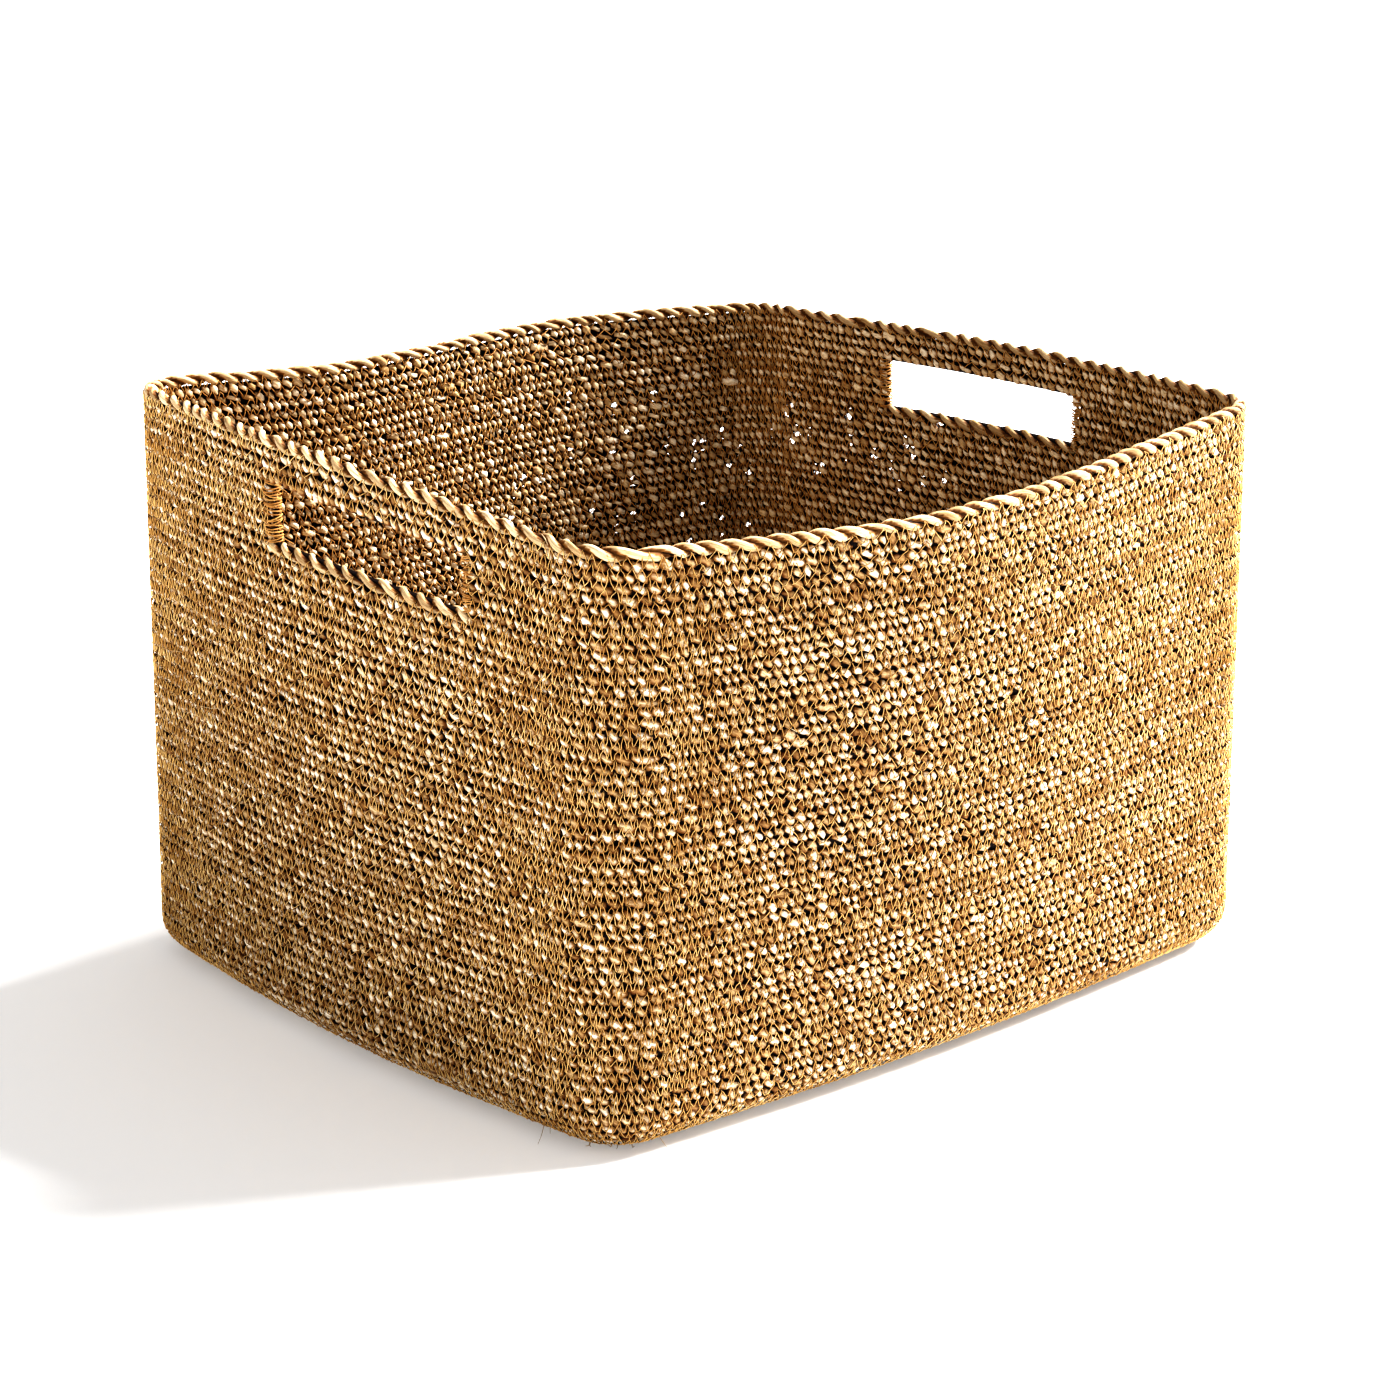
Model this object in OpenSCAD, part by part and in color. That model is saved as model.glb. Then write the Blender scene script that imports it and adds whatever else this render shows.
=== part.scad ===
// Rectangular storage basket: one long seagrass rope laid turn on turn and machine sewn to itself,
// flat turns for the base and stacked courses for the wall, with a hand slot in each short side.
// Millimetres. +Z up, origin at the middle of the base, on the floor. Long sides run along X.

/* [Footprint] */
// Distance between the ideal corners of the base along X
base_x = 458; // [380:1:540]
// Distance between the ideal corners of the base along Y
base_y = 395; // [320:1:460]
// Outside corner radius of the wall
corner_r = 40; // [34:1:60]
// How far the long sides of the base bow outwards
long_bow = 11; // [4:1:20]
// How far the short sides of the base bow outwards
short_bow = 14; // [4:1:20]

/* [Soft rim] */
// Extra outward bow of the front long side at the rim
front_rim_bow = 28; // [0:1:40]
// Change of bow of the back long side at the rim
back_rim_bow = -6; // [-7:1:10]
// Extra outward bow of the left short side at the rim
left_rim_bow = 8; // [0:1:20]
// Extra outward bow of the right short side at the rim
right_rim_bow = 6; // [0:1:20]
// How far the right short side is drawn in at the rim
right_rim_draw = 8; // [0:1:16]

/* [Rope] */
// Height of one course, the rope's width across the seam
pitch = 5.5; // [5:0.1:6]
// Thickness of the wall, the rope's width through the wall
wall_t = 6; // [5:0.1:7]
// Depth of the groove between two courses
groove = 0.9; // [0.5:0.1:1.2]
// Width of the rim rope, which is left rounder than the rest
rim_t = 7; // [6:0.1:8]

/* [Courses] */
// Turns in the flat base, outside the core
base_turns = 31; // [29:1:31]
// Plain wall courses below the slots, in bands of four
plain_bands = 10; // [8:1:12]
// Courses interrupted by the hand slots
slot_courses = 5; // [4:1:6]
// Courses between the slots and the rim rope
grip_courses = 3; // [2:1:4]

/* [Hand slots] */
// Length of each hand slot
slot_len = 142; // [110:1:160]
// Middle of the left slot along Y
left_slot_y = -39; // [-45:1:45]
// Middle of the right slot along Y
right_slot_y = 17; // [-45:1:45]
// Length of the overcast binding at each end of a slot
binding_len = 5; // [3:0.5:8]
// Thickness of the overcast binding
binding_t = 0.8; // [0.6:0.1:1.2]

/* [Hidden] */
$fn = 96;
side_fn = 1080;              // the sides are short arcs of very large circles
lap = 0.3;                   // how much thinner a side is than its corners
lap_len = 0.8;               // how far a side runs into a corner
thread_lap = 0.05;           // the same two for thread
thread_lap_len = 0.4;
side_steps = 8;              // straight steps of a base turn's side and corner
corner_steps = 6;
turn_gap = 0.2;              // between neighbouring turns of the base
fit_gap = 0.1;               // around a binding and a thread
band_courses = 4;            // courses sewn as one band
sill_courses = 2;            // courses under the slots
edge_r = 4 * pitch;          // outside radius of the turn from base to wall
edge_courses = 6;            // courses that climb round the turn
base_group = 8;              // base turns in one sewn group
right_arc = 2;               // place of the right and left sides in a plan's list of arcs
left_arc = 6;
base_r_inner = 7;            // corner radius of the innermost base turns
flat_part = 0.4;             // share of a course that is flat
flat_from = (1 - flat_part) / 2;
flat_to = (1 + flat_part) / 2;
thread_fill = 0.8;           // how much of a groove the thread fills
half_x = base_x / 2;
half_y = base_y / 2;
wall_courses = plain_bands * band_courses + sill_courses + slot_courses + grip_courses + 1;
wall_h = edge_r + wall_courses * pitch;
cut = 600;                   // larger than the basket

function course_z(n) = edge_r + n * pitch;
function band_z(k) = course_z((k - 1) * band_courses);
sill_z = course_z(plain_bands * band_courses);
slot_z = sill_z + sill_courses * pitch;
grip_z = slot_z + slot_courses * pitch;
rim_z = grip_z + grip_courses * pitch;

// The origin is the middle of the whole outline, which the soft rim moves off the footprint's middle.
rim_share = rim_z / wall_h;
rim_reach = (rim_t - wall_t) / 2;
footprint_at = [round2((left_rim_bow * rim_share + rim_reach) / 2),
                round2((front_rim_bow * rim_share + rim_reach) / 2)];

rope_colours = ["#b98f55", "#c39a5f", "#b58a4e", "#bf9558"];
rim_colour = "#cdb07c";
thread_colour = "#b9812c";

// ---- Plan of one turn: four bowed sides joined by four tangent corner arcs ----

// A side is a circle: [centre, radius]. bow is how far its middle stands beyond the chord.
function round2(v) = round(v * 100) / 100;
function side_r(half_chord, bow) = round((half_chord * half_chord + bow * bow) / (2 * bow));
function side(dir, apex, half_chord, bow) =
    let (r = side_r(half_chord, bow)) [dir * (round2(apex) - r), r];

// Where a corner circle of radius r sits so that it touches sides p and q from inside;
// turn is the direction of the corner.
function corner_centre(p, q, r, turn) =
    let (
        rp = p[1] - r, rq = q[1] - r,
        d = q[0] - p[0], len = norm(d),
        along = (rp * rp - rq * rq + len * len) / (2 * len),
        across = sqrt(rp * rp - along * along),
        u = d / len, w = [-u[1], u[0]],
        foot = p[0] + u * along,
        c1 = foot + w * across, c2 = foot - w * across
    ) (c1 * turn > c2 * turn ? c1 : c2);

function heading(v) = atan2(v[1], v[0]);
function sweep(a, b) = (b - a + 720) % 360;

// A plan is [x of left and right chords, y of front and back chords, bows, corner radius].
function plan(xl, xr, yf, yb, bows, r) = [xl, xr, yf, yb, bows, r];

// The eight arcs of a plan, each [centre, radius, start angle, sweep], anticlockwise from the front.
function arcs(pl) =
    let (
        mid_x = (pl[1] - pl[0]) / 2, mid_y = (pl[3] - pl[2]) / 2, b = pl[4], r = pl[5],
        hx = (pl[0] + pl[1]) / 2, hy = (pl[2] + pl[3]) / 2,
        at = [round2(mid_x), round2(mid_y)],
        front = side([0, -1], hy + b[0], hx, b[0]),
        right = side([1, 0], hx + b[1], hy, b[1]),
        back = side([0, 1], hy + b[2], hx, b[2]),
        left = side([-1, 0], hx + b[3], hy, b[3]),
        sides = [front, right, back, left],
        turns = [[1, -1], [1, 1], [-1, 1], [-1, -1]],
        corners = [for (i = [0:3]) corner_centre(sides[i], sides[(i + 1) % 4], r, turns[i])]
    )
    [for (i = [0:3], k = [0:1])
        let (
            s = sides[i], next = sides[(i + 1) % 4],
            before = heading(corners[(i + 3) % 4] - s[0]), after = heading(corners[i] - s[0]),
            after_next = heading(corners[i] - next[0])
        )
        k == 0 ? [s[0] + at, s[1], before, sweep(before, after)]
               : [corners[i] + at, r, after, sweep(after, after_next)]];

// Plan of the wall at height z; inset moves the whole plan inwards.
function wall_plan(z) =
    let (t = z / wall_h)
    plan(half_x, half_x - round2(right_rim_draw * t), half_y, half_y,
        [long_bow + front_rim_bow * t, short_bow + right_rim_bow * t,
         long_bow + back_rim_bow * t, short_bow + left_rim_bow * t], corner_r);

// Plan of base turn i, counted from the outside inwards.
function base_plan(i) =
    let (d = edge_r + i * pitch, k = (half_y - d) / half_y)
    plan(half_x - d, half_x - d, half_y - d, half_y - d,
        [long_bow * k, short_bow * k, long_bow * k, short_bow * k],
        max(base_r_inner, corner_r - edge_r - i * pitch / 8));

// Sweeps a section round a plan. The section's x is 0 at the plan's line and negative inside it.
// Each side runs a little way into its corners and is thinner by $lap, so the eight arcs fuse.
module ring(pl, thin = lap, reach = lap_len) {
    list = arcs(pl);
    for (i = [0:7]) {
        a = list[i];
        is_side = i % 2 == 0;
        $lap = is_side ? thin : 0;
        over = is_side ? reach / a[1] * 180 / PI : 0;
        translate([a[0][0], a[0][1], 0])
            rotate([0, 0, a[2] - over])
                rotate_extrude(angle = a[3] + 2 * over, $fn = is_side ? side_fn : $fn)
                    translate([a[1], 0])
                        children();
    }
}

// A plan as a closed line of points, moved inwards.
function outline(pl, inset) = [for (i = [0:7])
    let (a = arcs(pl)[i], steps = i % 2 == 0 ? side_steps : corner_steps)
    each [for (k = [0:steps - 1])
        let (t = a[2] + a[3] * k / steps) a[0] + (a[1] - inset) * [cos(t), sin(t)]]];

// ---- Sections ----

// Outer edge of n stacked courses from z: each is a flat bump with a groove at each joint.
// An inset edge also stops a little short of the bottom and the top of the stack.
function bumps(n, z, inset) = [for (i = [0:n - 1], e = [0:3])
    let (
        rise = [0, flat_from, flat_to, 1][e],
        short = i == 0 && e == 0 ? inset / 2 : i == n - 1 && e == 3 ? -inset / 2 : 0
    )
    [(e == 0 || e == 3 ? -groove : 0) - inset, z + pitch * (i + rise) + short]];

function upside(list) = [for (i = [len(list) - 1:-1:0]) list[i]];

module stack_section(n, z) {
    outer = bumps(n, z, $lap);
    polygon(concat(outer, upside([for (p = outer) [-wall_t - p[0], p[1]]])));
}

// Thread lying in the groove at height z; side is 1 on the outside and -1 on the inside.
module thread_section(z, side = 1) {
    rise = thread_fill * pitch * flat_from - 2 * $lap;
    deep = side > 0 ? -groove : groove - wall_t;
    shallow = deep + side * (groove * thread_fill - $lap);
    polygon([[deep + side * $lap, z], [shallow, z + rise], [shallow, z - rise]]);
}

// Quarter turn from base to wall, ribbed by its courses.
module edge_section() {
    function at(r, a) = [r * cos(a) - edge_r, edge_r - r * sin(a)];
    step = 90 / edge_courses;
    rises = [0, flat_from, flat_to];
    outer = [for (i = [0:edge_courses - 1], e = [0:2])
        at((e == 0 && i > 0 ? edge_r - groove / 2 : edge_r) - $lap, step * (i + rises[e]))];
    inner = [for (i = [edge_courses - 1:-1:0], e = [2:-1:0])
        at((e == 0 && i > 0 ? edge_r - wall_t + groove / 2 : edge_r - wall_t) + $lap,
           step * (i + rises[e]))];
    polygon(concat(outer, [[-edge_r, $lap], [-edge_r, wall_t - $lap]], inner));
}

// Rim rope: an octagon, wider than the wall below it.
module rim_section() {
    c = pitch * flat_from;
    out = (rim_t - wall_t) / 2 - $lap;
    in = -wall_t - out;
    polygon([[-groove - $lap, rim_z], [out, rim_z + c], [out, rim_z + pitch - c],
             [out - c, rim_z + pitch], [in + c, rim_z + pitch], [in, rim_z + pitch - c],
             [in, rim_z + c], [groove + $lap - wall_t, rim_z]]);
}

// ---- Sub-parts ----

module placed() {
    translate([footprint_at[0], footprint_at[1], 0]) children();
}

// The base starts from two straight lengths of rope side by side.
module base_core() {
    d = edge_r + base_turns * pitch;
    w = half_y - d;
    len = base_x - 2 * d - 4 * turn_gap;
    color(rope_colours[1]) placed()
        for (row = [-1, 0])
            translate([-len / 2, row * w + turn_gap / 2, 0])
                cube([len, w - turn_gap, wall_t]);
}

// One flat turn of the base: its lower face lies on the floor.
module base_turn(i) {
    outer = outline(base_plan(i), turn_gap);
    inner = outline(base_plan(i), pitch);
    n = len(outer);
    linear_extrude(wall_t)
        polygon(concat(outer, inner), [[for (k = [0:n - 1]) k], [for (k = [0:n - 1]) n + k]]);
}

module base_turns(group) {
    first = group * base_group;
    last = min(first + base_group, base_turns) - 1;
    color(rope_colours[group]) placed()
        for (i = [first:last]) base_turn(i);
}

// Thread under the base, in the groove outside each turn.
module base_needle_thread() {
    color(thread_colour) placed()
        for (i = [1:base_turns - 1])
            ring(base_plan(i), thread_lap, thread_lap_len) {
                half = groove * thread_fill / 2 - $lap;
                polygon([[-half, fit_gap], [half, fit_gap], [half, 2 * half], [-half, 2 * half]]);
            }
}

module base_edge_courses() {
    color(rope_colours[3]) placed() ring(wall_plan(0)) edge_section();
}

module stack(z, n) {
    ring(wall_plan(z)) stack_section(n, z);
}

module wall_band(k) {
    color(rope_colours[k % 4]) placed() stack(band_z(k), band_courses);
}

module sill_courses() {
    color(rope_colours[2]) placed() stack(sill_z, sill_courses);
}

module grip_courses() {
    color(rope_colours[1]) placed() stack(grip_z, grip_courses);
}

module rim_rope() {
    color(rim_colour) placed() ring(wall_plan(rim_z)) rim_section();
}

// Everything on one side of a line through both hand slots; the line steps at the middle of the
// basket, where left_y becomes right_y. dir is 1 to remove what lies behind it, -1 in front.
module beyond(left_y, right_y, dir) {
    for (s = [[-cut, left_y], [0, right_y]])
        translate([s[0], dir > 0 ? s[1] : s[1] - cut, slot_z - 1])
            cube([cut, cut, slot_courses * pitch + 2]);
}

module slot_courses_half(dir) {
    reach = -dir * slot_len / 2;
    color(rope_colours[dir > 0 ? 3 : 0]) placed()
        difference() {
            stack(slot_z, slot_courses);
            beyond(left_slot_y + reach, right_slot_y + reach, dir);
        }
}

// Overcast thread round the cut ends of the courses at one end of a slot. arc_index picks the
// side's arc, dir is 1 for the end towards the back of the basket.
module binding(arc_index, slot_y, dir) {
    arc = arcs(wall_plan(slot_z))[arc_index];
    tall = slot_courses * pitch - 2 * fit_gap;
    end_y = slot_y + dir * slot_len / 2;
    module swept() {
        translate([arc[0][0], arc[0][1], 0])
            rotate([0, 0, arc[2]])
                rotate_extrude(angle = arc[3], $fn = side_fn)
                    translate([arc[1], 0])
                        children();
    }
    module slice(from, to) {
        translate([-cut, min(end_y + dir * from, end_y + dir * to), slot_z - 1])
            cube([2 * cut, abs(to - from), tall + 2]);
    }
    color(thread_colour) placed()
        difference() {
            intersection() {
                swept()
                    translate([-wall_t - binding_t, slot_z + fit_gap])
                        square([wall_t + 2 * binding_t, tall]);
                slice(-binding_t, binding_len);
            }
            intersection() {
                swept() stack_section(slot_courses, slot_z, $lap = lap);
                slice(0, binding_len + 1);
            }
        }
}

// Thread in every groove inside a stack of n courses.
module thread_rings(z, n, side) {
    for (i = [1:n - 1])
        ring(wall_plan(z), thread_lap, thread_lap_len) thread_section(z + i * pitch, side);
}

module band_thread(first, side) {
    color(thread_colour) placed()
        for (k = [first, first + 1])
            thread_rings(band_z(k), band_courses, side);
}

module top_thread(side) {
    free = slot_len + 2 * binding_len + 2;
    color(thread_colour) placed() {
        thread_rings(sill_z, sill_courses, side);
        thread_rings(grip_z, grip_courses, side);
        difference() {
            thread_rings(slot_z, slot_courses, side);
            for (s = [[-cut, left_slot_y], [0, right_slot_y]])
                translate([s[0], s[1] - free / 2, slot_z])
                    cube([cut, free, slot_courses * pitch]);
        }
    }
}

base_core();
base_turns(3);  // base_turns_inner
base_turns(2);  // base_turns_middle
base_turns(1);  // base_turns_outer
base_turns(0);  // base_turns_border
base_needle_thread();
base_edge_courses();
wall_band(1);  // wall_band_01
wall_band(2);  // wall_band_02
wall_band(3);  // wall_band_03
wall_band(4);  // wall_band_04
wall_band(5);  // wall_band_05
wall_band(6);  // wall_band_06
wall_band(7);  // wall_band_07
wall_band(8);  // wall_band_08
wall_band(9);  // wall_band_09
wall_band(10);  // wall_band_10
sill_courses();
slot_courses_half(1);  // slot_courses_front
slot_courses_half(-1);  // slot_courses_back
grip_courses();
rim_rope();
binding(left_arc, left_slot_y, -1);  // binding_left_front
binding(left_arc, left_slot_y, 1);  // binding_left_back
binding(right_arc, right_slot_y, -1);  // binding_right_front
binding(right_arc, right_slot_y, 1);  // binding_right_back
band_thread(1, 1);  // needle_thread_01_02
band_thread(3, 1);  // needle_thread_03_04
band_thread(5, 1);  // needle_thread_05_06
band_thread(7, 1);  // needle_thread_07_08
band_thread(9, 1);  // needle_thread_09_10
top_thread(1);  // needle_thread_top
band_thread(1, -1);  // bobbin_thread_01_02
band_thread(3, -1);  // bobbin_thread_03_04
band_thread(5, -1);  // bobbin_thread_05_06
band_thread(7, -1);  // bobbin_thread_07_08
band_thread(9, -1);  // bobbin_thread_09_10
top_thread(-1);  // bobbin_thread_top
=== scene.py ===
"""Seagrass storage basket: twisted rope courses sewn with zigzag thread, on a white studio floor.

Lengths of the basket are millimetres, in the frame of the CAD model, and become metres in Build.piece().
Lengths of the studio are metres.
"""
import math

import bpy
import numpy as np
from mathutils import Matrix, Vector


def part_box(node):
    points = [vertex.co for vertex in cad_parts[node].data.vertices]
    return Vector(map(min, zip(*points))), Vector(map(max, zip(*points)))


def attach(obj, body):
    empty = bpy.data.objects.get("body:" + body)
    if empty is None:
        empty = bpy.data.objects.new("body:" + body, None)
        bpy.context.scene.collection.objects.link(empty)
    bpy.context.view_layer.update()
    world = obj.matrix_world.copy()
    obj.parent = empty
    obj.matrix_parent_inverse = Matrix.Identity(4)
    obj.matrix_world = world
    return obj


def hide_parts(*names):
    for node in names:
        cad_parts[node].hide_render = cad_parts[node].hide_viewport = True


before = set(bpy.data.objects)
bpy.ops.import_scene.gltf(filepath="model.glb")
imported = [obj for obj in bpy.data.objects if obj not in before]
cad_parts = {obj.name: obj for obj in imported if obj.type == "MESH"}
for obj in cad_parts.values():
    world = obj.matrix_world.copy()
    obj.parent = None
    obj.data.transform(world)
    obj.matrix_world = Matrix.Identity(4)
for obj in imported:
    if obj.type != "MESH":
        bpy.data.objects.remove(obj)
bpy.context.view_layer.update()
MM = 0.001
TAU = 2 * math.pi


def box_mm(node):
    low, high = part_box(node)
    return np.array(low) / MM, np.array(high) / MM


# ---------------------------------------------------------------- sizes, from the frame

EDGE_LO, EDGE_HI = box_mm("base_edge_courses")
MIDDLE = (EDGE_LO[:2] + EDGE_HI[:2]) / 2          # middle of the footprint
EDGE_R = EDGE_HI[2]                               # radius of the turn from base to wall
BAND_LO, BAND_HI = box_mm("wall_band_01")
BAND_COURSES = 4
PITCH = (BAND_HI[2] - BAND_LO[2]) / BAND_COURSES  # height of one course
WALL_TOP = box_mm("rim_rope")[1][2]
WALL_T = box_mm("base_core")[1][2]                # thickness of the wall
WALL_COURSES = round((WALL_TOP - EDGE_R) / PITCH)
SLOT_LO, SLOT_HI = box_mm("slot_courses_front")[0][2], box_mm("slot_courses_front")[1][2]
FIRST_SLOT_COURSE = round((SLOT_LO - EDGE_R) / PITCH)
SLOT_COURSES = round((SLOT_HI - SLOT_LO) / PITCH)


def binding_face(node, towards_back):
    """Y of the face of a binding that looks into its slot."""
    low, high = box_mm(node)
    return high[1] if towards_back else low[1]


SLOT_Y = {-1: (binding_face("binding_left_front", True), binding_face("binding_left_back", False)),
          1: (binding_face("binding_right_front", True), binding_face("binding_right_back", False))}

# ---------------------------------------------------------------- sizes of the visual model's own

LONG_BOW, SHORT_BOW = 11.0, 14.0                  # how far the base's sides bow outwards, as in the CAD model
CORNER_R = 33.0                                   # corner radius of the wall, tighter than the CAD model's
TURN_R_MIN = 8.0                                  # corner radius of the innermost base turns
HALF_X = (EDGE_HI[0] - EDGE_LO[0]) / 2 - SHORT_BOW
HALF_Y = (EDGE_HI[1] - EDGE_LO[1]) / 2 - LONG_BOW
BASE_TURNS = 31
BASE_LIFT = 1.1                                   # keeps the thread under the base off the floor
EDGE_COURSES = 6

# Once round the wall: the straight stretches, a corner's arc, the whole length, and the places of the
# corners along it from 0 to 1: front right, back right, back left, front left.
STRAIGHTS = 2 * (HALF_X - CORNER_R), 2 * (HALF_Y - CORNER_R)
ARC = math.pi / 2 * CORNER_R
ROUND = 2 * sum(STRAIGHTS) + 4 * ARC
CORNERS = np.array([STRAIGHTS[0] + ARC / 2, sum(STRAIGHTS) + ARC * 1.5,
                    STRAIGHTS[0] * 2 + STRAIGHTS[1] + ARC * 2.5, ROUND - ARC / 2]) / ROUND

# How far the rim stands out past the base in the middle of a side, as the frame has it
RIM_LO, RIM_HI = box_mm("rim_rope")
FRONT_LEAN = EDGE_LO[1] - RIM_LO[1]
RIGHT_LEAN = RIM_HI[0] - EDGE_HI[0]
LEFT_LEAN = EDGE_LO[0] - RIM_LO[0]

# The soft rim: (place, outwards, upwards). A place counts sides anticlockwise from the front left
# corner, so whole numbers are corners and 0.5 is the middle of the front.
RIM_SHAPE = ((0.0, 3, -6),                        # the front left corner sinks a little
             (0.4, FRONT_LEAN, -9),               # the front bellies out, most of all left of its middle
             (1.0, -2, -1),
             (1.5, RIGHT_LEAN, -1),               # the right grip stands up between its corners
             (2.0, -12, 1),                       # the back right corner is drawn in
             (2.3, 8, 3),                         # the back waves outwards, then inwards
             (2.7, -15, 4),
             (3.0, -4, 11),                       # the back left corner stands highest
             (3.5, LEFT_LEAN, 11))

STITCH = 5.5                                      # about the length of one zigzag
PRESSED = 2.9                                     # how far from its middle the stitches press a rope flat
LAY = 11.5                                        # length in which a strand turns once round the rope
WALL_BANDS = 10
LEAST_SHARE = 0.02                                # share of the height below which nothing leans outwards
NEAR_END = 0.8                                    # share of HALF_X past which a point is on a short side

# How finely the ropes are built: length of a ring, and sides of a strand
ROPE_STEP = 0.95
STRAND_SIDES = 5
SIDE_POINTS, CORNER_POINTS = 90, 26               # of the outline
HEART_STEP = 5.0
FINE_HEART_STEP = 1.5                             # beside pinholes
LINE_STEP = 3.0                                   # of the lines that threads and fibres follow

# How fast the attribute fibre grows along a rope, per millimetre, and along a thread, per point.
# The slower it grows, the longer the streaks of the material.
GRAIN = 0.16
THREAD_GRAIN = 1.3

# Strands of a rope: (apart outwards, apart upwards, thick outwards, thick upwards), from the middle
CALM_STRANDS = 1.5, 1.35, 1.55, 1.55
SEWN_STRANDS = 2.0, 1.0, 1.55, 1.75

# The rim rope and the lips of the slots are a longer, calmer twist
CALM_ROPE = {"calm": 0.6, "step": 1.2, "sides": 10}


# ---------------------------------------------------------------- lines round the basket

def catmull(values, at):
    """Smooth closed curve through evenly spaced values, at places from 0 to 1."""
    v = np.asarray(values, float)
    n = len(v)
    x = (np.asarray(at) % 1) * n
    i = np.floor(x).astype(int)
    t = x - i
    a, b, c, d = (v[(i + k) % n] for k in (-1, 0, 1, 2))
    return b + 0.5 * t * (c - a + t * (2 * a - 5 * b + 4 * c - d + t * (3 * (b - c) + d - a)))


def rim_lean(place):
    """(outwards, upwards) of the rim at places from 0 to 1, on a smooth closed curve through RIM_SHAPE."""
    x, *leans = np.array(RIM_SHAPE).T
    sides = np.interp(place, [CORNERS[3] - 1, *CORNERS, CORNERS[0] + 1], range(6)) % 4
    i = np.searchsorted(x, sides, side="right") - 1
    gap = (np.roll(x, -1) - x) % 4
    t = (sides - x[i]) / gap[i]
    result = []
    for v in leans:
        slope = (np.roll(v, -1) - np.roll(v, 1)) / (gap + np.roll(gap, 1))
        start, end = slope[i] * gap[i], slope[(i + 1) % len(x)] * gap[i]
        rise = v[(i + 1) % len(x)] - v[i]
        result.append(v[i] + t * (start + t * (3 * rise - 2 * start - end + t * (start + end - 2 * rise))))
    return result


def smooth_noise(rng, count, length, grain):
    """Closed wandering noise, about -1 to 1, whose waves are about grain long."""
    knots = max(4, int(length / grain))
    return catmull(rng.uniform(-1, 1, knots), np.arange(count) / count)


def rounded_outline(inset):
    """Closed line of the base's outline moved inwards: straight sides with a bow, joined by arcs."""
    share = (HALF_Y - inset) / HALF_Y
    hx, hy = HALF_X - inset, HALF_Y - inset
    r = max(min(CORNER_R - inset, hy), TURN_R_MIN if hy > TURN_R_MIN else hy)
    points = []
    for nx, ny in ((0, -1), (1, 0), (0, 1), (-1, 0)):
        normal = np.array((nx, ny), float)
        along = np.array((-ny, nx), float)
        half_len, half_deep = (hx, hy) if ny else (hy, hx)
        bow = (LONG_BOW if ny else SHORT_BOW) * share
        u = np.linspace(-1, 1, SIDE_POINTS) * (half_len - r)
        swell = bow * np.cos(math.pi / 2 * u / half_len)
        side = normal * half_deep + u[:, None] * along + swell[:, None] * normal
        points.append(side)
        next_bow = (SHORT_BOW if ny else LONG_BOW) * share
        bow_end = bow * math.cos(math.pi / 2 * (half_len - r) / half_len)
        next_end = next_bow * math.cos(math.pi / 2 * (half_deep - r) / half_deep)
        turn = np.linspace(0, math.pi / 2, CORNER_POINTS)[1:-1]
        centre = normal * (half_deep - r) + along * (half_len - r)
        arc = np.cos(turn)[:, None] * normal + np.sin(turn)[:, None] * along
        w = (turn / (math.pi / 2))[:, None]
        points.append(centre + r * arc + bow_end * (1 - w) * normal + next_end * w * along)
    return np.concatenate(points)


class Line:
    """A closed line round the basket at one place of its profile, with its own directions.

    inset and z place it on the profile; tilt is 0 where the outside looks down and 90 degrees where it
    looks sideways. out points out of the wall and up points towards the next course.
    """

    def __init__(self, inset, z, tilt, step):
        base = rounded_outline(max(inset, 0.5))
        ring = np.vstack([base, base[:1]])
        gone = np.concatenate([[0], np.cumsum(np.linalg.norm(np.diff(ring, axis=0), axis=1))])
        self.length = gone[-1]
        self.count = max(24, int(round(self.length / step)))
        self.place = np.arange(self.count) / self.count
        at = self.place * self.length
        xy = np.stack([np.interp(at, gone, ring[:, k]) for k in (0, 1)], 1)
        share = z / WALL_TOP
        outwards, upwards = rim_lean(self.place)
        if share > LEAST_SHARE:
            tangent = np.roll(xy, -1, 0) - np.roll(xy, 1, 0)
            tangent /= np.linalg.norm(tangent, axis=1)[:, None]
            normal = np.stack([tangent[:, 1], -tangent[:, 0]], 1)
            xy = xy + normal * (outwards * share)[:, None]
        self.at = np.column_stack([xy + MIDDLE, z + upwards * share ** 2])
        self.aim(tilt)

    def aim(self, tilt):
        """Sets the directions along the line, out of the wall and towards the next course."""
        tangent = np.roll(self.at, -1, 0) - np.roll(self.at, 1, 0)
        self.along = tangent / np.linalg.norm(tangent, axis=1)[:, None]
        flat = np.column_stack([self.along[:, 1], -self.along[:, 0], np.zeros(self.count)])
        flat /= np.linalg.norm(flat, axis=1)[:, None]
        z_axis = np.array((0, 0, 1.0))
        self.out = math.sin(tilt) * flat - math.cos(tilt) * z_axis
        self.up = math.cos(tilt) * flat + math.sin(tilt) * z_axis

    def sample(self, place):
        """Interpolated (point, out, up, along) at any places from 0 to 1."""
        x = (np.asarray(place) % 1) * self.count
        i = np.floor(x).astype(int) % self.count
        t = (x - np.floor(x))[:, None]
        j = (i + 1) % self.count
        return [a[i] * (1 - t) + a[j] * t for a in (self.at, self.out, self.up, self.along)]


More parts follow.
